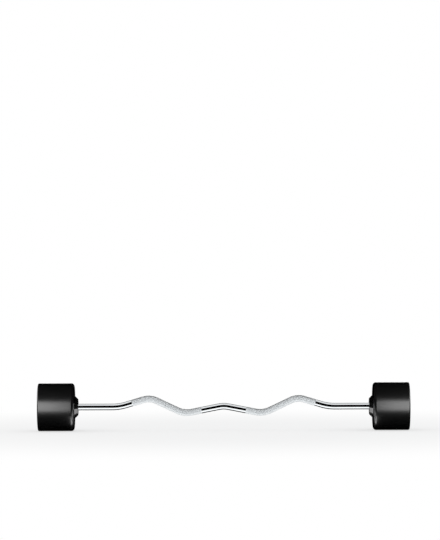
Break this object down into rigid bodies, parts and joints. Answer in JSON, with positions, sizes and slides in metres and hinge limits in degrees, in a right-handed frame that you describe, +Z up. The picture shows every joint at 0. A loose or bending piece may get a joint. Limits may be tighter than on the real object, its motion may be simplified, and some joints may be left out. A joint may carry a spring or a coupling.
{
  "type": "ez curl bar",
  "caption": "Fixed-weight curl bar: a bent chromed bar with knurled grips between two drum-shaped rubber covered iron weights.",
  "frame": {"origin": "on the common axis of the two weights, midway between them", "axes": "+X along the bar to the right-hand weight, +Z up through the bar's outer peaks, +Y away from the viewer"},
  "size_m": [1.4, 0.18, 0.18],
  "materials": {
    "chromed_bar": "polished chrome, with knurled grips",
    "cover_rubber": "satin moulded rubber",
    "boot_rubber": "satin moulded rubber",
    "cap_rubber": "matte moulded rubber",
    "seal_rubber": "smooth",
    "cast_core": "as cast",
    "black_steel": "black oxide",
    "plated_steel": "zinc plated"
  },
  "bodies": {
    "root": {"curl_bar": "chromed_bar", "left_rubber_cover": "cover_rubber", "left_iron_core": "cast_core", "left_collar_boot": "boot_rubber", "left_hub_collar": "black_steel", "left_spring_pin": "plated_steel", "left_dowels": "plated_steel", "left_clamp_washer": "plated_steel", "left_spring_washer": "plated_steel", "left_end_bolt": "black_steel", "left_end_cap": "cap_rubber", "left_cap_seal": "seal_rubber", "right_rubber_cover": "cover_rubber", "right_iron_core": "cast_core", "right_collar_boot": "boot_rubber", "right_hub_collar": "black_steel", "right_spring_pin": "plated_steel", "right_dowels": "plated_steel", "right_clamp_washer": "plated_steel", "right_spring_washer": "plated_steel", "right_end_bolt": "black_steel", "right_end_cap": "cap_rubber", "right_cap_seal": "seal_rubber"}
  },
  "joints": []
}
